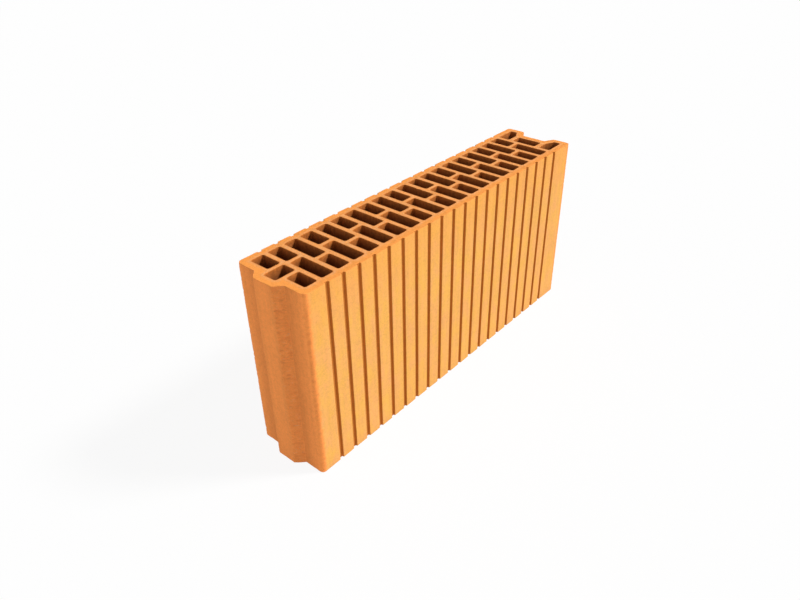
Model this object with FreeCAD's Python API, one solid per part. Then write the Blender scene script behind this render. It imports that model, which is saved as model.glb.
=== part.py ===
"""Hollow clay partition block with upright cells, a tongue on one end and a groove in the other.

The block is extruded and fired as one piece, so it is one solid: a flat section, pushed up to the
block's height. Millimetres. X runs along the block from the tongue to the groove, Y across the wall
from the front face to the back face, and Z up. The origin is the middle of the underside.
"""
import FreeCAD
import Part
import math
import os

# Overall size. The length runs from shoulder to shoulder, so the tongue stands out beyond it.
block_length = 500.0
block_width = 100.0
block_height = 238.0

# Clay thicknesses
outer_wall = 9.7
end_wall = 10.5
ear_end_wall = 9.0
groove_wall = 10.0
cross_web = 6.3
bond_web = 5.0
ear_web = 7.0

# Cells, in rows across the block
cell_rows = 21
short_cell = 29.5
tongue_cell = 17.2
cell_corner_radius = 2.5
largest_radius_share = 0.3

# Tongue, and the groove that takes the tongue of the next block
tongue_depth = 9.5
tongue_tip = 26.5
tongue_flank_angle = 45.0
groove_end_clearance = 4.0
groove_side_clearance = 1.25
groove_flank_angle = 26.5
joint_corner_radius = 2.5

# Upright plaster-keying grooves in both long faces, which narrow towards their floor. Each lies at a
# cross web, and the offset is how far it lies past the web's middle towards the block's groove end.
keying_mouth = 5.6
keying_floor = 3.6
keying_depth = 2.3
front_keying_offset = 0.75
back_keying_offset = -0.5

# Rounding of the four upright outer corners
upright_edge_radius = 5.0

# Planes along the block
shoulder_x = (tongue_depth - block_length) / 2
groove_end_x = shoulder_x + block_length
tongue_tip_x = shoulder_x - tongue_depth
groove_depth = tongue_depth + groove_end_clearance
groove_floor_x = groove_end_x - groove_depth

# Planes across the block
front_y = -block_width / 2
back_y = block_width / 2
cells_front_y = front_y + outer_wall
cells_back_y = back_y - outer_wall

# Half widths of tongue and groove, which both lie on the middle of the block
tongue_tip_half = tongue_tip / 2
tongue_root_half = tongue_tip_half + tongue_depth * math.tan(math.radians(tongue_flank_angle))
groove_mouth_half = tongue_root_half + groove_side_clearance
groove_floor_half = groove_mouth_half - groove_depth * math.tan(math.radians(groove_flank_angle))

# Row pattern along the block: equal cells between the end wall and the wall behind the groove
first_row_x = shoulder_x + end_wall
last_row_end_x = groove_floor_x - groove_wall
cell_length = (last_row_end_x - first_row_x - (cell_rows - 1) * cross_web) / cell_rows
row_pitch = cell_length + cross_web


def rounded_wire(corners):
    """Closed wire in the bed plane through corners (x, y, radius), each rounded by a tangent arc."""
    starts, ends, edges = [], [], []
    for index, (x, y, radius) in enumerate(corners):
        here = FreeCAD.Vector(x, y, 0)
        before = FreeCAD.Vector(*corners[index - 1][:2], 0)
        after = FreeCAD.Vector(*corners[(index + 1) % len(corners)][:2], 0)
        to_before = (before - here).normalize()
        to_after = (after - here).normalize()
        half_angle = to_before.getAngle(to_after) / 2
        setback = radius / math.tan(half_angle)
        starts.append(here + to_before * setback)
        ends.append(here + to_after * setback)
        if radius > 0:
            bisector = (to_before + to_after).normalize()
            middle = here + bisector * (radius / math.sin(half_angle) - radius)
            edges.append(Part.Arc(starts[-1], middle, ends[-1]).toShape())
    for index, end in enumerate(ends):
        edges.append(Part.makeLine(end, starts[(index + 1) % len(starts)]))
    return Part.Wire(Part.__sortEdges__(edges))


def row_x(row):
    """Start of a row of cells, counted from 0 at the tongue end."""
    return first_row_x + row * row_pitch


def keying_notches(face_y, inward, offset):
    """Corners of the keying grooves in one long face, from the tongue end to the groove end."""
    floor_y = face_y + inward * keying_depth
    corners = []
    for row in range(1, cell_rows):
        middle = row_x(row) - cross_web / 2 + offset
        corners += [
            (middle - keying_mouth / 2, face_y, 0),
            (middle - keying_floor / 2, floor_y, 0),
            (middle + keying_floor / 2, floor_y, 0),
            (middle + keying_mouth / 2, face_y, 0),
        ]
    return corners


def outline_wire():
    """Outside of the section: two keyed long faces, the groove in one end and the tongue on the other."""
    front = [(shoulder_x, front_y, upright_edge_radius)]
    front += keying_notches(front_y, 1, front_keying_offset)
    front += [(groove_end_x, front_y, upright_edge_radius)]
    groove = [
        (groove_end_x, -groove_mouth_half, joint_corner_radius),
        (groove_floor_x, -groove_floor_half, joint_corner_radius),
        (groove_floor_x, groove_floor_half, joint_corner_radius),
        (groove_end_x, groove_mouth_half, joint_corner_radius),
    ]
    back = [(groove_end_x, back_y, upright_edge_radius)]
    back += reversed(keying_notches(back_y, -1, back_keying_offset))
    back += [(shoulder_x, back_y, upright_edge_radius)]
    tongue = [
        (shoulder_x, tongue_root_half, joint_corner_radius),
        (tongue_tip_x, tongue_tip_half, joint_corner_radius),
        (tongue_tip_x, -tongue_tip_half, joint_corner_radius),
        (shoulder_x, -tongue_root_half, joint_corner_radius),
    ]
    return rounded_wire(front + groove + back + tongue)


def cell_radius(*sides):
    """Corner radius of a cell, kept to a share of its shortest side."""
    return min(cell_corner_radius, largest_radius_share * min(sides))


def cell_wire(x1, x2, y1, y2):
    """One upright cell with rounded corners."""
    radius = cell_radius(x2 - x1, y2 - y1)
    return rounded_wire([(x1, y1, radius), (x2, y1, radius), (x2, y2, radius), (x1, y2, radius)])


def tongue_row():
    """First row: two cells at the sides and one that reaches forward into the tongue."""
    x1 = row_x(0)
    x2 = x1 + cell_length
    tongue_cell_half = tongue_cell / 2
    side_edge = tongue_cell_half + bond_web
    return [
        cell_wire(x1, x2, cells_front_y, -side_edge),
        cell_wire(tongue_tip_x + end_wall, x2, -tongue_cell_half, tongue_cell_half),
        cell_wire(x1, x2, side_edge, cells_back_y),
    ]


def bonded_row(row):
    """A row of one short and one long cell, which change sides from row to row like bonded bricks."""
    x1 = row_x(row)
    x2 = x1 + cell_length
    if row % 2:
        short_edge = cells_back_y - short_cell
        return [
            cell_wire(x1, x2, cells_front_y, short_edge - bond_web),
            cell_wire(x1, x2, short_edge, cells_back_y),
        ]
    short_edge = cells_front_y + short_cell
    return [
        cell_wire(x1, x2, cells_front_y, short_edge),
        cell_wire(x1, x2, short_edge + bond_web, cells_back_y),
    ]


def ear_cell(side):
    """Cell in one ear beside the groove, its inner corner cut off along the groove's flank."""
    slope = math.radians(groove_flank_angle)
    x1 = row_x(cell_rows - 1)
    x2 = groove_end_x - ear_end_wall
    outer = block_width / 2 - outer_wall
    inner = groove_floor_half + ear_web

    def flank_line(x):
        """Distance from the block's middle to the line one wall behind the groove's flank."""
        return groove_floor_half + (x - groove_floor_x) * math.tan(slope) + groove_wall / math.cos(slope)

    cut_x = x2 - (flank_line(x2) - inner) / math.tan(slope)
    radius = cell_radius(x2 - x1, outer - inner)
    corners = [
        (x1, side * inner, radius),
        (cut_x, side * inner, radius),
        (x2, side * flank_line(x2), radius),
        (x2, side * outer, radius),
        (x1, side * outer, radius),
    ]
    return rounded_wire(corners)


def groove_row():
    """Last row: one cell behind the groove's floor and one in each ear."""
    x1 = row_x(cell_rows - 1)
    middle_cell = cell_wire(x1, x1 + cell_length, -groove_floor_half, groove_floor_half)
    return [ear_cell(-1), middle_cell, ear_cell(1)]


def clay_block():
    """The whole block, as its section pushed up to the block's height."""
    cells = tongue_row()
    for row in range(1, cell_rows - 1):
        cells += bonded_row(row)
    cells += groove_row()
    section = Part.makeFace([outline_wire()] + cells, "Part::FaceMakerBullseye")
    return section.extrude(FreeCAD.Vector(0, 0, block_height))


os.makedirs("parts", exist_ok=True)
clay_block().exportStep("parts/clay_block.step")
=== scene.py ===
"""Looks of the hollow clay block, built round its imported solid.

Metres. X runs along the block from the tongue to the groove, Y across it from the front face to the
back face, and Z up. The block is extruded, so its skin follows from one section: the outline and the
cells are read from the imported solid's top face, and walls, worn rims and bed faces are built on them.
"""

import math
from types import SimpleNamespace

import bpy
import numpy as np
from mathutils import Matrix, Vector, geometry, kdtree, noise


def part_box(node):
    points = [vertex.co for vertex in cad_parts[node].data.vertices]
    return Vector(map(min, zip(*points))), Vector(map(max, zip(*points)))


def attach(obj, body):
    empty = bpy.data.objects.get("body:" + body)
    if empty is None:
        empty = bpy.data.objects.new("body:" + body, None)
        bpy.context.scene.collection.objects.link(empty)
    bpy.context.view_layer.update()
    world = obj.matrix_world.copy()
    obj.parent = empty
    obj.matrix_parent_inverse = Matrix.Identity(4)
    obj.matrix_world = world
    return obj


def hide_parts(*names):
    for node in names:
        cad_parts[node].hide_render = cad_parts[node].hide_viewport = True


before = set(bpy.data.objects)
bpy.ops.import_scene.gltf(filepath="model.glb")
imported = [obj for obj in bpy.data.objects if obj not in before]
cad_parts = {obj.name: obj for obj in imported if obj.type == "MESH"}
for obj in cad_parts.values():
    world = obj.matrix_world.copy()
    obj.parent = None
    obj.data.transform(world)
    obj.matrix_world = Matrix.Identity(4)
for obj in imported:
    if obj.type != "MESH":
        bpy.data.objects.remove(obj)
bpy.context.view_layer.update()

# The part of the frame that the skin stands for
block_node = "clay_block"
node_low, node_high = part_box(block_node)
block_height = node_high.z
half_width = node_high.y
flat_tolerance = 1e-5
weld_digits = 6

# Spacing of the skin's points along the section: on the long faces, on the ends and in the cells
long_face_step = 0.0062
end_step = 0.0022
end_zone = 0.022
cell_step = 0.005
cell_least_step = 0.001

# Spacing of the skin's points up the walls, in even steps that the ends divide again
wall_steps = 45
end_divisions = 4
cell_levels = 16
cell_level_crowding = 1.8

# Spacing of the skin's points over the bed faces, and how far chance moves them
bed_step = 0.003
bed_scatter = bed_step / 3
bed_margin = 0.0014
merge_distance = 1e-9
random_seed = 21

# Rounding of sharp edges, and how far it varies
sharp_turn = math.radians(50)
sharp_radius = 0.0005
largest_inset_share = 0.8
rim_segments = 3
rim_radius = 0.0004
cell_rim_radius = 0.0002
rim_variation = 0.5
rim_wave = 0.012
rim_shift = 3.7
chip_depth = 0.0008
chip_wave = 0.007
chip_shift = 11.3
chip_share = 0.3

# Unevenness of the walls and bed faces
wall_swell = 0.0002
wall_swell_wave = 0.07
wall_swell_shift = 5.1
bed_swell = 0.0002
bed_swell_wave = 0.03
bed_swell_shift = 6.2
noise_spread = 0.75

# Tears across the upright corners and the slanted flanks of the ends
tear_depth = 0.0006
tear_width = 0.006
tear_height = 0.0028
tear_waves = (tear_width, tear_width, tear_height)
tear_shift = 2.3
tear_share = 0.42
slant_start = 0.15
slant_full = 0.45
corner_least_slant = 0.5
corner_zone = 0.008
corner_fade = 0.006

# Where tones change: round the long faces, in keying grooves and cells, and beside rims and inner
# corners, with painted shade in the grooves, the cells and the inner corners
long_face_fade = 0.006
groove_zone = 0.006
groove_start = 0.00005
groove_fade = 0.0003
cell_shade_depth = 0.009
outer_rim_wear = 0.3
rim_band = 0.0016
rim_band_wear = 0.6
rim_cut_share = 0.15
worn_reach = 0.0042
inner_turn = -0.05
sheltered_reach = 0.02


def section_loops(node):
    """Closed loops of points (x, y) round the node's top face, each with the clay on its left."""
    mesh = node.data
    mesh.calc_loop_triangles()
    edges = {}
    for triangle in mesh.loop_triangles:
        corners = [mesh.vertices[index].co for index in triangle.vertices]
        if min(corner.z for corner in corners) > block_height - flat_tolerance:
            keys = [(round(corner.x, weld_digits), round(corner.y, weld_digits)) for corner in corners]
            for start, end in zip(keys, keys[1:] + keys[:1]):
                edges[start, end] = True
    following = {start: end for start, end in edges if (end, start) not in edges}
    loops = []
    while following:
        start, here = following.popitem()
        loop = [start]
        while here != start:
            loop.append(here)
            here = following.pop(here)
        loops.append(np.array(loop))
    return loops


def signed_area(loop):
    """Area inside the loop, negative where the loop runs clockwise."""
    after = np.roll(loop, -1, axis=0)
    return 0.5 * np.sum(loop[:, 0] * after[:, 1] - loop[:, 1] * after[:, 0])


def turns_along(loop):
    """Change of heading at each of the loop's points, positive where the clay's corner stands out."""
    ahead = np.roll(loop, -1, axis=0) - loop
    headings = np.arctan2(ahead[:, 1], ahead[:, 0])
    return (headings - np.roll(headings, 1) + math.pi) % (2 * math.pi) - math.pi


def rounded_corners(loop):
    """The loop with each sharp corner that stands out replaced by three points of a small curve."""
    points = []
    for index, turn in enumerate(turns_along(loop)):
        here = loop[index]
        if turn < sharp_turn:
            points.append(here)
        else:
            behind = loop[index - 1] - here
            ahead = loop[(index + 1) % len(loop)] - here
            start = here + behind / np.linalg.norm(behind) * sharp_radius
            end = here + ahead / np.linalg.norm(ahead) * sharp_radius
            points += [start, (start + 2 * here + end) / 4, end]
    return np.array(points)


def thinned(loop, least_step):
    """The loop without the points that follow closer than the least step."""
    points = [loop[0]]
    for here in loop[1:]:
        if np.linalg.norm(here - points[-1]) >= least_step:
            points.append(here)
    return np.array(points)


def in_end_zone(loop):
    """Whether each point belongs to one of the block's two ends."""
    return (loop[:, 0] < node_low.x + end_zone) | (loop[:, 0] > node_high.x - end_zone)


def divided(loop, steps):
    """The loop with each side that is longer than the step at its start divided evenly."""
    points = []
    for here, after, step in zip(loop, np.roll(loop, -1, axis=0), steps):
        count = max(1, math.ceil(np.linalg.norm(after - here) / step))
        for index in range(count):
            points.append(here + (after - here) * index / count)
    return np.array(points)


def clayward(loop):
    """Directions into the clay at the loop's points, longer at corners so that each side moves evenly."""
    ahead = np.roll(loop, -1, axis=0) - loop
    ahead /= np.linalg.norm(ahead, axis=1, keepdims=True)
    left_ahead = np.column_stack([-ahead[:, 1], ahead[:, 0]])
    middle = left_ahead + np.roll(left_ahead, 1, axis=0)
    return 2 * middle / np.sum(middle**2, axis=1, keepdims=True)


def largest_insets(loop):
    """How far each point of the loop can move into the clay before the sides beside it shrink away."""
    lengths = np.linalg.norm(np.roll(loop, -1, axis=0) - loop, axis=1)
    turns = turns_along(loop)
    shrinking = np.tan(turns / 2) + np.tan(np.roll(turns, -1) / 2)
    limits = lengths / np.maximum(shrinking, flat_tolerance)
    return largest_inset_share * np.minimum(limits, np.roll(limits, 1))


def distances_to(points, places):
    """Distance in plan from each of the places to the nearest of the points."""
    tree = kdtree.KDTree(len(points))
    for index, point in enumerate(points):
        tree.insert((point[0], point[1], 0), index)
    tree.balance()
    return np.array([tree.find((x, y, 0))[2] for x, y in places])


def noise_at(points, waves, shift):
    """Smooth noise from 0 to 1 at points, by its wavelengths and a shift that sets it apart."""
    scaled = np.asarray(points) / np.asarray(waves) + shift
    values = np.array([noise.noise(Vector(point)) for point in scaled])
    return np.clip(0.5 + noise_spread * values, 0, 1)


def highest_share(values, share):
    """0 for all but the highest share of noise values, which rise to 1."""
    return np.clip((values - 1 + share) / share, 0, 1)


def rim_radii(loop, z, is_cell):
    """Rounding of the rim at each of the loop's points, larger where the outer edge is chipped."""
    places = np.column_stack([loop, np.full(len(loop), z)])
    variation = 1 + rim_variation * (2 * noise_at(places, rim_wave, rim_shift) - 1)
    if is_cell:
        return cell_rim_radius * variation
    chips = highest_share(noise_at(places, chip_wave, chip_shift), chip_share)
    return rim_radius * variation + chip_depth * chips


def torn_shares(loop):
    """1 on the slanted flanks and rounded corners of the ends, fading to 0 beside them."""
    directions = clayward(loop)
    directions /= np.linalg.norm(directions, axis=1, keepdims=True)
    slants = np.min(np.abs(directions), axis=1)
    shares = np.clip((slants - slant_start) / (slant_full - slant_start), 0, 1) * in_end_zone(loop)
    return (np.roll(shares, 1) + 2 * shares + np.roll(shares, -1)) / 4


def corner_shares(loop):
    """1 on the four rounded upright corners, fading to 0 on the faces beside them."""
    slanted = torn_shares(loop) > corner_least_slant
    corners = loop[slanted & (half_width - np.abs(loop[:, 1]) < corner_zone)]
    return 1 - np.clip(distances_to(corners, loop) / corner_fade, 0, 1)


def across_shares(loop):
    """1 where the loop faces across the block, and 0 where it faces along the block."""
    directions = clayward(loop)
    return np.abs(directions[:, 1]) / np.linalg.norm(directions, axis=1)


def sheltered_shares(loop):
    """Share of painted shade: 1 in the inner corners of the tongue and the groove, fading to 0 away from
    them.
    """
    inner = loop[(turns_along(loop) < inner_turn) & in_end_zone(loop)]
    return 1 - np.clip(distances_to(inner, loop) / sheltered_reach, 0, 1)


def long_face_shares(loop):
    """1 on the two long faces, fading to 0 round their edges and down in the keying grooves."""
    flat = loop[half_width - np.abs(loop[:, 1]) < flat_tolerance]
    return 1 - np.clip(distances_to(flat, loop) / long_face_fade, 0, 1)


def key_groove_shares(loop):
    """Share of painted shade: 1 down in the keying grooves of the long faces, and 0 elsewhere on the
    outline.
    """
    depth = half_width - np.abs(loop[:, 1])
    sunk = np.clip((depth - groove_start) / groove_fade, 0, 1)
    return sunk * (depth < groove_zone) * ~in_end_zone(loop)


class Skin:
    """Points, faces and tone shares of the block's skin, gathered piece by piece."""

    def __init__(self):
        self.points = []
        self.faces = []
        names = ["long_face", "cut_face", "cell_wall", "cell_depth", "cell_across", "key_groove"]
        names += ["worn_edge", "sheltered", "torn", "corner", "tear"]
        self.shares = {name: [] for name in names}

    def add_points(self, points, **shares):
        """Adds points with their tone shares, and returns their numbers."""
        first = len(self.points)
        self.points.extend(points)
        for name, values in self.shares.items():
            values.extend(np.broadcast_to(shares.get(name, 0.0), len(points)))
        return np.arange(first, len(self.points))

    def add_band(self, upper, lower):
        """Joins two closed rings of points by a band that faces away from the clay."""
        corners = [upper, lower, np.roll(lower, -1), np.roll(upper, -1)]
        self.faces.extend(np.column_stack(corners).tolist())

    def add_columns(self, columns, is_fine, divisions):
        """Joins upright columns of points, in which a number below 0 marks a point that is left out."""
        fine_pairs = is_fine & np.roll(is_fine, -1)
        for left, right, is_fine_pair in zip(columns, np.roll(columns, -1, axis=0), fine_pairs):
            step = 1 if is_fine_pair else divisions
            for top in range(0, len(left) - 1, step):
                down = left[top:top + step + 1].tolist()
                up = right[top:top + step + 1][::-1].tolist()
                self.faces.append([number for number in down + up if number >= 0])


class Wall:
    """One loop of the section pushed up to the block's height, with worn rims at its top and bottom."""

    def __init__(self, skin, loop, is_cell):
        self.skin = skin
        self.loop = loop
        self.is_cell = is_cell
        self.into_clay = clayward(loop)
        self.limits = largest_insets(loop)
        self.upper_rim = rim_radii(loop, block_height, is_cell)
        self.lower_rim = rim_radii(loop, 0.0, is_cell)
        if is_cell:
            self.across = across_shares(loop)
        else:
            self.torn = torn_shares(loop)
            self.corner = corner_shares(loop)
            self.sheltered = sheltered_shares(loop)
            self.long_face = long_face_shares(loop)
            self.key_groove = key_groove_shares(loop)

    def add_ring(self, z, inset, cut, worn, kept):
        """A ring of points at heights z, moved into the clay, of which only the kept ones are added.

        The tone of the bed faces shows by the share cut, and that of worn edges by the share worn.
        """
        places = np.column_stack([self.loop, z])
        depth = wall_swell * noise_at(places, wall_swell_wave, wall_swell_shift) + inset
        if self.is_cell:
            depth = depth - wall_swell / 2
            # Painted shade: cell walls darken from their rims down to the depth at which they are darkest
            buried = np.minimum(z, block_height - z) / cell_shade_depth
            shares = {"cell_wall": float(cut < 1), "cell_depth": np.clip(buried, 0, 1)}
            shares.update(cell_across=self.across, worn_edge=worn)
        else:
            tear = self.torn * highest_share(noise_at(places, tear_waves, tear_shift), tear_share)
            depth = depth + tear_depth * tear
            shares = {"long_face": self.long_face, "key_groove": self.key_groove}
            shares.update(worn_edge=outer_rim_wear * worn, sheltered=self.sheltered)
            shares = {name: (1 - cut) * values for name, values in shares.items()}
            shares.update(torn=self.torn, corner=self.corner, tear=tear)
        places[:, :2] += self.into_clay * np.minimum(depth, self.limits)[:, None]
        shares = {name: np.broadcast_to(values, len(kept))[kept] for name, values in shares.items()}
        numbers = np.full(len(kept), -1)
        numbers[kept] = self.skin.add_points(places[kept], cut_face=cut, **shares)
        return numbers

    def add_rim(self, radii, is_upper):
        """The rounded rim's rings from the bed face to the wall, with a band of the bed round a cell."""
        everywhere = np.full(len(self.loop), True)
        rings = []
        if self.is_cell:
            z = np.full(len(self.loop), block_height if is_upper else 0.0)
            rings.append(self.add_ring(z, radii + rim_band, cut=1.0, worn=rim_band_wear, kept=everywhere))
        for angle in np.linspace(math.pi / 2, 0, rim_segments + 1)[:-1]:
            sunk = radii * (1 - math.sin(angle))
            z = block_height - sunk if is_upper else sunk
            inset = radii * (1 - math.cos(angle))
            # On a cell's rim little of the bed's tone shows, so the cells' painted shade reaches over the
            # rounding
            cut = math.sin(angle) * (rim_cut_share if self.is_cell else 1.0)
            worn = 0.0 if self.is_cell else math.sin(angle)
            rings.append(self.add_ring(z, inset, cut, worn, kept=everywhere))
        return rings

    def build(self, levels, is_fine, divisions):
        """Adds the wall, and returns its topmost and lowest rings, which bound the bed faces."""
        rings = []
        for index, level in enumerate(levels):
            z = self.lower_rim + level * (block_height - self.lower_rim - self.upper_rim)
            kept = is_fine | (index % divisions == 0)
            rings.append(self.add_ring(z, inset=0.0, cut=0.0, worn=0.0, kept=kept))
        self.skin.add_columns(np.array(rings).T, is_fine, divisions)
        upper = self.add_rim(self.upper_rim, True) + [rings[0]]
        lower = [rings[-1]] + self.add_rim(self.lower_rim, False)[::-1]
        for stack in (upper, lower):
            for above, below in zip(stack, stack[1:]):
                self.skin.add_band(above, below)
        return upper[0], lower[-1]


def outline_wall(skin, outline):
    """The outside of the block, with closer points on its ends."""
    loop = rounded_corners(outline)
    loop = divided(loop, np.where(in_end_zone(loop), end_step, long_face_step))
    levels = np.linspace(1, 0, wall_steps * end_divisions + 1)
    return Wall(skin, loop, False).build(levels, in_end_zone(loop), end_divisions)


def cell_wall(skin, cell):
    """The inside of one cell, with closer points near its two rims."""
    loop = thinned(cell, cell_least_step)
    loop = divided(loop, np.full(len(loop), cell_step))
    even = np.linspace(-1, 1, cell_levels)
    levels = 0.5 - 0.5 * np.sign(even) * (1 - (1 - np.abs(even)) ** cell_level_crowding)
    return Wall(skin, loop, True).build(levels, np.full(len(loop), True), 1)


def bed_grid(random):
    """Loose points over the whole bed, shifted at random so that they form no rows."""
    xs = np.arange(node_low.x, node_high.x, bed_step)
    ys = np.arange(node_low.y, node_high.y, bed_step)
    grid = np.array(np.meshgrid(xs, ys)).reshape(2, -1).T
    return grid + random.uniform(-bed_scatter, bed_scatter, grid.shape)


def clay_triangles(points, rim_starts):
    """Triangles over the clay between closed rims of points, of which the first is the outline's."""
    rims = [list(range(start, end)) for start, end in zip(rim_starts, rim_starts[1:])]
    flat = [Vector(point) for point in points]
    _, _, faces, sources, _, covers = geometry.delaunay_2d_cdt(flat, [], rims, 0, merge_distance, True)
    in_clay = [face for face, cover in zip(faces, covers) if cover == [0]]
    return [[sources[corner][0] for corner in face] for face in in_clay]


def add_bed(skin, outline_ring, cell_rings, is_upper, random):
    """A bed face between the rim of the outline and the rims of the cells."""
    rims = [outline_ring] + [ring[::-1] for ring in cell_rings]
    rim_starts = np.cumsum([0] + [len(ring) for ring in rims])
    rim_numbers = np.concatenate(rims)
    rim_points = np.array(skin.points)[rim_numbers, :2]
    grid = bed_grid(random)
    loose = grid[distances_to(rim_points, grid) > bed_margin]
    triangles = clay_triangles(np.vstack([rim_points, loose]), rim_starts)
    used = np.unique(triangles)
    used = used[used >= len(rim_points)]
    places = loose[used - len(rim_points)]
    level_places = np.column_stack([places, np.zeros(len(places))])
    depth = bed_swell * noise_at(level_places, bed_swell_wave, bed_swell_shift)
    z = block_height - depth if is_upper else depth
    from_cells = distances_to(rim_points[len(outline_ring):], places) + rim_band
    worn = np.clip(1 - from_cells / worn_reach, 0, 1)
    added = skin.add_points(np.column_stack([places, z]), cut_face=1.0, worn_edge=worn)
    numbers = dict(enumerate(rim_numbers.tolist()))
    numbers.update(zip(used.tolist(), added.tolist()))
    for triangle in triangles:
        corners = [numbers[corner] for corner in triangle]
        skin.faces.append(corners if is_upper else corners[::-1])


def skin_mesh(skin):
    """The gathered points and faces as a mesh, which carries the tone shares as its attributes."""
    mesh = bpy.data.meshes.new("clay_skin")
    mesh.from_pydata(skin.points, [], skin.faces)
    for name, values in skin.shares.items():
        attribute = mesh.attributes.new(name, "FLOAT", "POINT")
        attribute.data.foreach_set("value", np.array(values, np.float32))
    mesh.shade_smooth()
    mesh.set_sharp_from_angle(angle=sharp_turn)
    return mesh


def block_skin():
    """The block's whole skin, as a mesh object."""
    random = np.random.default_rng(random_seed)
    loops = section_loops(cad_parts[block_node])
    skin = Skin()
    outline_rings = [outline_wall(skin, loop) for loop in loops if signed_area(loop) > 0]
    cell_rings = [cell_wall(skin, loop) for loop in loops if signed_area(loop) < 0]
    for is_upper, end in ((True, 0), (False, 1)):
        add_bed(skin, outline_rings[0][end], [rings[end] for rings in cell_rings], is_upper, random)
    block = bpy.data.objects.new("clay_skin", skin_mesh(skin))
    bpy.context.scene.collection.objects.link(block)
    normals = block.modifiers.new("flat_faces_stay_flat", "WEIGHTED_NORMAL")
    normals.keep_sharp = True
    return block


# Clay tones, as linear red, green and blue
# The long faces' tone is yellower than the ends' by painted light: the hue of the brightly lit front
lit_long_face_tone = (0.835, 0.416, 0.085, 1.0)
rosy_tone = (0.835, 0.388, 0.117, 1.0)
upper_shade_tone = (0.86, 0.347, 0.065, 1.0)
end_face_tone = (0.918, 0.298, 0.068, 1.0)
corner_tone = (0.98, 0.322, 0.073, 1.0)
cut_face_tone = (0.895, 0.326, 0.067, 1.0)
worn_tone = (0.77, 0.415, 0.19, 1.0)
# Painted shade down in the keying grooves
groove_shade_tone = (0.565, 0.186, 0.026, 1.0)
# Painted shade in the cells: dark at their mouths, and darker deep down
cell_mouth_shade_tone = (0.44, 0.134, 0.024, 1.0)
deep_cell_shade_tone = (0.175, 0.054, 0.013, 1.0)
tear_tone = (0.86, 0.25, 0.062, 1.0)
scar_tone = (0.5, 0.165, 0.055, 1.0)
speck_tone = (0.6, 0.21, 0.06, 1.0)

# Patterns in the clay, by their waves in a metre along each axis
fine_drag_waves = (280, 280, 9)
broad_drag_waves = (120, 120, 5)
wire_line_waves = (520, 40, 40)
scar_waves = (170, 170, 480)
jag_waves = (60, 60, 330)
hue_waves = (90, 90, 45)
cloud_waves = (14, 14, 14)
blotch_waves = (110, 110, 110)
mottle_waves = (320, 320, 320)
grain_waves = (900, 900, 900)
speck_waves = 210
speck_rarity = 0.65
speck_size = 0.22

# The values between which most of a pattern lies, and how far each pattern darkens and brightens the clay
pattern_range = (0.25, 0.75)
cloud_strength = 0.03
blotch_strength = 0.03
mottle_strength = 0.07
grain_strength = 0.12
line_strength = 0.045
broad_drag_strength = 0.03
cell_pattern_strength = 0.14

# Tones on the long faces: rosy patches, the ends' tone at the back, and painted shade: a redder, darker
# band at the top and a darker foot
hue_range = (0.35, 0.65)
back_end_share = 0.65
upper_reach = 0.07
upper_share = 0.5
foot_reach = 0.02
foot_shade_brightness = 0.94

# Jagged edges between the tones of the long faces, the upright corners and the ends
face_jag = 0.3
face_edge = (0.58, 0.78)
corner_jag = 0.4
corner_edge = (0.3, 0.7)

# Painted light: cell walls are brighter where they face across the block. The bed faces are brighter at
# the tongue
across_range = (0.3, 0.95)
across_painted_light = 1.5
tongue_reach = 0.05
tongue_brightness = 1.055

# Worn edges, scars and crumbs, each shown in patches, and how much less the upright corners have
wear_range = (0.35, 0.65)
least_wear = 0.45
scar_blotch_range = (0.38, 0.6)
scar_blotch_least = 0.25
scar_cloud_range = (0.42, 0.58)
scar_cloud_least = 0.4
scar_range = (0.5, 0.66)
scar_strength = 0.5
crumb_range = (0.28, 0.42)
crumb_strength = 0.45
corner_calm = 0.7

# Tears, specks, and the painted shade in inner corners, which is weaker on the torn flanks
tear_strength = 0.6
speck_strength = 0.28
inner_corner_shade_brightness = 0.77
torn_inner_corner_shade = 0.35

# Fine relief, and roughness by the grains
line_relief = 0.6
grain_relief = 0.8
speck_relief = 0.3
scar_relief = 2.0
bump_strength = 0.5
bump_distance = 0.0004
grain_range = (0.2, 0.8)
roughness_range = (0.8, 0.95)
specular_level = 0.2


def empty_tree(owner):
    """The node tree of a material or a world, without any nodes."""
    owner.use_nodes = True
    owner.node_tree.nodes.clear()
    return owner.node_tree


def add_node(tree, kind, inputs=None, **settings):
    """A shader node with its settings, and its inputs set to values or linked to other nodes."""
    made = tree.nodes.new(kind)
    for name, value in settings.items():
        setattr(made, name, value)
    for name, value in (inputs or {}).items():
        if isinstance(value, bpy.types.NodeSocket):
            tree.links.new(value, made.inputs[name])
        else:
            made.inputs[name].default_value = value
    return made


def share(tree, name):
    """One of the skin's tone shares, as a number from 0 to 1."""
    return add_node(tree, "ShaderNodeAttribute", attribute_name=name).outputs["Fac"]


def maths(tree, operation, first, second):
    """The result of a sum on two numbers."""
    return add_node(tree, "ShaderNodeMath", {0: first, 1: second}, operation=operation).outputs[0]


def ranged(tree, value, low, high, to_low, to_high):
    """A number moved from one range to another, and kept inside it."""
    limits = {"Value": value, "From Min": low, "From Max": high, "To Min": to_low, "To Max": to_high}
    return add_node(tree, "ShaderNodeMapRange", limits).outputs["Result"]


def blended(tree, factor, first, second, blend="MIX"):
    """Two colours blended by a factor."""
    inputs = {0: factor, 6: first, 7: second}
    return add_node(tree, "ShaderNodeMix", inputs, data_type="RGBA", blend_type=blend).outputs[2]


def brightened(tree, colour, factor):
    """The colour times a brightness."""
    return blended(tree, 1.0, colour, factor, "MULTIPLY")


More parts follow.
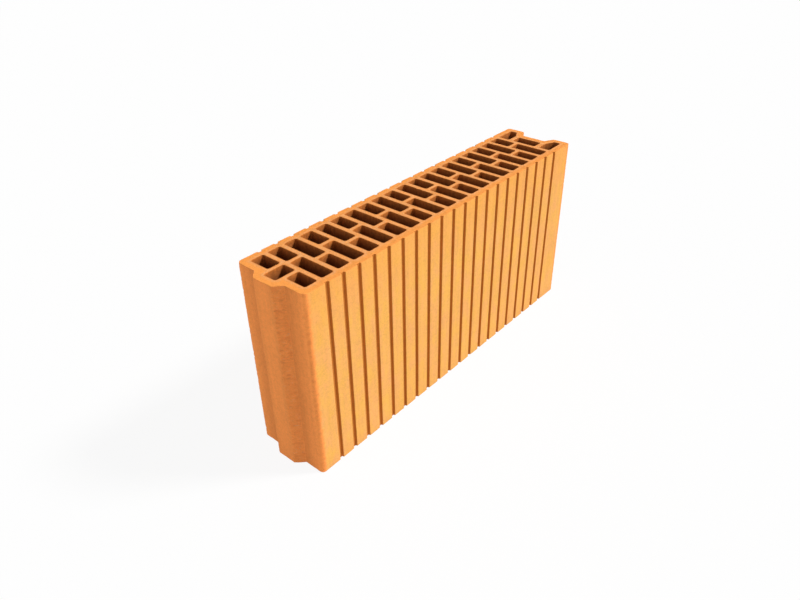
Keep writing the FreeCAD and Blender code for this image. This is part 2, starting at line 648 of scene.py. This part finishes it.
def noise_value(tree, place, waves, detail=4.0, roughness=0.55):
    """Smooth noise from 0 to 1, with a number of waves in a metre along each axis."""
    scaled = add_node(tree, "ShaderNodeMapping", {"Vector": place, "Scale": waves}).outputs["Vector"]
    inputs = {"Vector": scaled, "Scale": 1.0, "Detail": detail, "Roughness": roughness}
    return add_node(tree, "ShaderNodeTexNoise", inputs).outputs["Fac"]


def specks(tree, place):
    """1 in small scattered specks, and 0 elsewhere."""
    inputs = {"Vector": place, "Scale": speck_waves, "Randomness": 1.0}
    spots = add_node(tree, "ShaderNodeTexVoronoi", inputs)
    chosen = add_node(tree, "ShaderNodeSeparateColor", {"Color": spots.outputs["Color"]}).outputs["Red"]
    size = ranged(tree, chosen, speck_rarity, 1, 0, speck_size)
    return maths(tree, "LESS_THAN", spots.outputs["Distance"], size)


def clay_patterns(tree, place):
    """All patterns in the clay, by name."""
    return SimpleNamespace(
        fine_drag=noise_value(tree, place, fine_drag_waves),
        broad_drag=noise_value(tree, place, broad_drag_waves, detail=2.0),
        wire_lines=noise_value(tree, place, wire_line_waves),
        scars=noise_value(tree, place, scar_waves, detail=3.0),
        jags=noise_value(tree, place, jag_waves, detail=3.0),
        hues=noise_value(tree, place, hue_waves, detail=3.0),
        clouds=noise_value(tree, place, cloud_waves),
        blotches=noise_value(tree, place, blotch_waves, detail=3.0),
        mottle=noise_value(tree, place, mottle_waves, detail=2.0),
        grain=noise_value(tree, place, grain_waves, detail=3.0, roughness=0.7),
        specks=specks(tree, place),
    )


def varied(tree, colour, pattern, strength):
    """The colour made darker and brighter by a pattern."""
    return brightened(tree, colour, ranged(tree, pattern, *pattern_range, 1 - strength, 1 + strength))


def jagged_share(tree, name, jags, reach, edge):
    """One of the skin's tone shares, with a jagged edge where it fades."""
    shifted = maths(tree, "ADD", share(tree, name), ranged(tree, jags, *pattern_range, -reach, reach))
    return ranged(tree, shifted, *edge, 0, 1)


def long_face_colour(tree, across, height, patterns):
    """Colour of the two long faces, yellower by painted light, with painted shade in a band at the top
    and at the foot.
    """
    colour = blended(tree, ranged(tree, patterns.hues, *hue_range, 0, 1), lit_long_face_tone, rosy_tone)
    at_back = maths(tree, "GREATER_THAN", across, 0.0)
    colour = blended(tree, maths(tree, "MULTIPLY", at_back, back_end_share), colour, end_face_tone)
    # Painted shade: redder and darker towards the top
    upper = ranged(tree, height, block_height - upper_reach, block_height, 0, upper_share)
    colour = blended(tree, upper, colour, upper_shade_tone)
    # Painted shade: darker towards the foot
    return brightened(tree, colour, ranged(tree, height, 0, foot_reach, foot_shade_brightness, 1))


def outside_colour(tree, across, height, patterns):
    """Colour of the ends, the long faces and the upright corners, with painted shade down in the keying
    grooves.
    """
    on_long_face = jagged_share(tree, "long_face", patterns.jags, face_jag, face_edge)
    long_face = long_face_colour(tree, across, height, patterns)
    colour = blended(tree, on_long_face, end_face_tone, long_face)
    on_corner = jagged_share(tree, "corner", patterns.jags, corner_jag, corner_edge)
    colour = blended(tree, on_corner, colour, corner_tone)
    return blended(tree, share(tree, "key_groove"), colour, groove_shade_tone)


def cell_shade_colour(tree, patterns):
    """Painted shade on the cells' walls, which darken with depth, and painted light on the walls that
    face across the block.
    """
    colour = blended(tree, share(tree, "cell_depth"), cell_mouth_shade_tone, deep_cell_shade_tone)
    # Painted light on the cell walls that face across the block
    facing = ranged(tree, share(tree, "cell_across"), *across_range, 1, across_painted_light)
    colour = brightened(tree, colour, facing)
    colour = varied(tree, colour, patterns.fine_drag, cell_pattern_strength)
    return varied(tree, colour, patterns.mottle, cell_pattern_strength)


def cut_face_colour(tree, along):
    """Colour of the wire-cut bed faces."""
    tongue = ranged(tree, along, node_low.x, node_low.x + tongue_reach, tongue_brightness, 1)
    return brightened(tree, cut_face_tone, tongue)


def flank_share(tree):
    """1 on the slanted flanks of the ends, less on the upright corners, and 0 elsewhere."""
    calmer = ranged(tree, share(tree, "corner"), 0, 1, 1, 1 - corner_calm)
    return maths(tree, "MULTIPLY", share(tree, "torn"), calmer)


def scar_share(tree, patterns):
    """How far scars show, in patches on the flanks and beside the upright corners."""
    calmed = maths(tree, "MULTIPLY", share(tree, "torn"), corner_calm)
    beside_corner = maths(tree, "SUBTRACT", share(tree, "corner"), calmed)
    scarred = maths(tree, "MAXIMUM", flank_share(tree), beside_corner)
    blotches = ranged(tree, patterns.blotches, *scar_blotch_range, scar_blotch_least, 1)
    clouds = ranged(tree, patterns.clouds, *scar_cloud_range, scar_cloud_least, 1)
    scars = ranged(tree, patterns.scars, *scar_range, 0, scar_strength)
    for pattern in (blotches, clouds, scars):
        scarred = maths(tree, "MULTIPLY", scarred, pattern)
    return scarred


def weathered_and_shaded(tree, colour, scarred, patterns):
    """The colour with worn edges, scars, tears, crumbs, painted shade in inner corners, and specks."""
    patches = ranged(tree, patterns.blotches, *wear_range, least_wear, 1)
    worn = maths(tree, "MULTIPLY", share(tree, "worn_edge"), patches)
    colour = blended(tree, worn, colour, worn_tone)
    colour = blended(tree, scarred, colour, scar_tone)
    colour = blended(tree, maths(tree, "MULTIPLY", share(tree, "tear"), tear_strength), colour, tear_tone)
    crumbs = ranged(tree, patterns.scars, *crumb_range, crumb_strength, 0)
    colour = blended(tree, maths(tree, "MULTIPLY", flank_share(tree), crumbs), colour, worn_tone)
    weaker = ranged(tree, share(tree, "torn"), 0, 1, 1, torn_inner_corner_shade)
    sheltered = maths(tree, "MULTIPLY", share(tree, "sheltered"), weaker)
    # Painted shade in the inner corners
    colour = brightened(tree, colour, ranged(tree, sheltered, 0, 1, 1, inner_corner_shade_brightness))
    return blended(tree, maths(tree, "MULTIPLY", patterns.specks, speck_strength), colour, speck_tone)


def mottled(tree, colour, lines, patterns):
    """The colour made darker and brighter by all patterns that cover the whole block."""
    colour = varied(tree, colour, patterns.clouds, cloud_strength)
    colour = varied(tree, colour, patterns.blotches, blotch_strength)
    colour = varied(tree, colour, patterns.mottle, mottle_strength)
    colour = varied(tree, colour, patterns.grain, grain_strength)
    colour = varied(tree, colour, lines, line_strength)
    return varied(tree, colour, patterns.broad_drag, broad_drag_strength)


def fine_relief(tree, lines, scarred, patterns):
    """The surface's direction with raised lines and grains, and sunk specks and scars."""
    heights = (
        (patterns.grain, grain_relief),
        (patterns.specks, -speck_relief),
        (scarred, -scar_relief),
    )
    relief = maths(tree, "MULTIPLY", lines, line_relief)
    for pattern, height in heights:
        relief = maths(tree, "ADD", relief, maths(tree, "MULTIPLY", pattern, height))
    inputs = {"Strength": bump_strength, "Distance": bump_distance, "Height": relief}
    return add_node(tree, "ShaderNodeBump", inputs).outputs["Normal"]


def fired_clay():
    """Sandy fired clay, with tones by face, worn edges, scars, drag lines and grains."""
    material = bpy.data.materials.new("fired_clay")
    tree = empty_tree(material)
    place = add_node(tree, "ShaderNodeTexCoord").outputs["Object"]
    along, across, height = add_node(tree, "ShaderNodeSeparateXYZ", {0: place}).outputs
    patterns = clay_patterns(tree, place)
    cut = share(tree, "cut_face")
    line_inputs = {0: cut, 2: patterns.fine_drag, 3: patterns.wire_lines}
    lines = add_node(tree, "ShaderNodeMix", line_inputs).outputs[0]
    scarred = scar_share(tree, patterns)
    colour = outside_colour(tree, across, height, patterns)
    colour = blended(tree, share(tree, "cell_wall"), colour, cell_shade_colour(tree, patterns))
    colour = blended(tree, cut, colour, cut_face_colour(tree, along))
    colour = weathered_and_shaded(tree, colour, scarred, patterns)
    inputs = {
        "Base Color": mottled(tree, colour, lines, patterns),
        "Roughness": ranged(tree, patterns.grain, *grain_range, *roughness_range),
        "Specular IOR Level": specular_level,
        "Normal": fine_relief(tree, lines, scarred, patterns),
    }
    shader = add_node(tree, "ShaderNodeBsdfPrincipled", inputs)
    add_node(tree, "ShaderNodeOutputMaterial", {"Surface": shader.outputs["BSDF"]})
    return material


# Studio
floor_size = 40.0
floor_tone = (0.85, 0.85, 0.85, 1.0)
floor_glow = 0.92
floor_bounce = 0.6
sky_strength = 0.2
key_from = (0.52, -0.50, 0.69)
key_strength = 3.55
key_softness = math.radians(12)
fill_from = (-0.95, 0.1, 0.05)
fill_strength = 1.0
fill_softness = math.radians(80)

# Camera, as the photograph was taken
camera_place = (-0.59425, -0.4750, 0.5881)
camera_direction = (0.6284, 0.5505, -0.5496)
camera_up = (0.4260, 0.3475, 0.8353)
camera_lens = 31.16
sensor_width = 36.0


def seen_directly(tree):
    """1 for rays from the camera and for what is seen by reflection or through something, else 0."""
    path = add_node(tree, "ShaderNodeLightPath").outputs
    mirrored = maths(tree, "MAXIMUM", path["Is Glossy Ray"], path["Is Transmission Ray"])
    return maths(tree, "MAXIMUM", path["Is Camera Ray"], mirrored)


def add_floor():
    """Plain floor that shows white, and glows a little so that the block's shade on it stays pale."""
    mesh = bpy.data.meshes.new("floor")
    half = floor_size / 2
    corners = [(-half, -half, 0), (half, -half, 0), (half, half, 0), (-half, half, 0)]
    mesh.from_pydata(corners, [], [(0, 1, 2, 3)])
    floor = bpy.data.objects.new("floor", mesh)
    bpy.context.scene.collection.objects.link(floor)
    material = bpy.data.materials.new("floor_paper")
    tree = empty_tree(material)
    paper = add_node(tree, "ShaderNodeBsdfDiffuse", {"Color": floor_tone})
    white = add_node(tree, "ShaderNodeEmission", {"Strength": 1.0})
    glow = ranged(tree, seen_directly(tree), 0, 1, floor_bounce, floor_glow)
    inputs = {0: glow, 1: paper.outputs[0], 2: white.outputs[0]}
    mixed = add_node(tree, "ShaderNodeMixShader", inputs)
    add_node(tree, "ShaderNodeOutputMaterial", {"Surface": mixed.outputs[0]})
    mesh.materials.append(material)


def set_world():
    """White surroundings that light the block evenly and softly."""
    world = bpy.data.worlds.new("studio")
    bpy.context.scene.world = world
    tree = empty_tree(world)
    strength = ranged(tree, seen_directly(tree), 0, 1, sky_strength, 1.0)
    sky = add_node(tree, "ShaderNodeBackground", {"Color": (1, 1, 1, 1), "Strength": strength})
    add_node(tree, "ShaderNodeOutputWorld", {"Surface": sky.outputs[0]})


def add_sun(name, coming_from, strength, softness):
    """A soft light from a direction."""
    lamp = bpy.data.lights.new(name, "SUN")
    lamp.energy = strength
    lamp.angle = softness
    sun = bpy.data.objects.new(name, lamp)
    sun.rotation_mode = "QUATERNION"
    sun.rotation_quaternion = Vector(coming_from).to_track_quat("Z", "Y")
    bpy.context.scene.collection.objects.link(sun)


def add_camera():
    """The camera at the photograph's place."""
    lens = bpy.data.cameras.new("camera")
    lens.lens = camera_lens
    lens.sensor_fit = "HORIZONTAL"
    lens.sensor_width = sensor_width
    camera = bpy.data.objects.new("camera", lens)
    back = -Vector(camera_direction).normalized()
    right = Vector(camera_up).cross(back).normalized()
    up = back.cross(right)
    turned = Matrix((right, up, back)).transposed().to_4x4()
    camera.matrix_world = Matrix.Translation(camera_place) @ turned
    bpy.context.scene.collection.objects.link(camera)
    bpy.context.scene.camera = camera


block = block_skin()
block.data.materials.append(fired_clay())
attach(block, "root")
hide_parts(block_node)

add_floor()
set_world()
add_sun("key_light", key_from, key_strength, key_softness)
add_sun("fill_light", fill_from, fill_strength, fill_softness)
add_camera()
bpy.context.scene.view_settings.view_transform = "Standard"
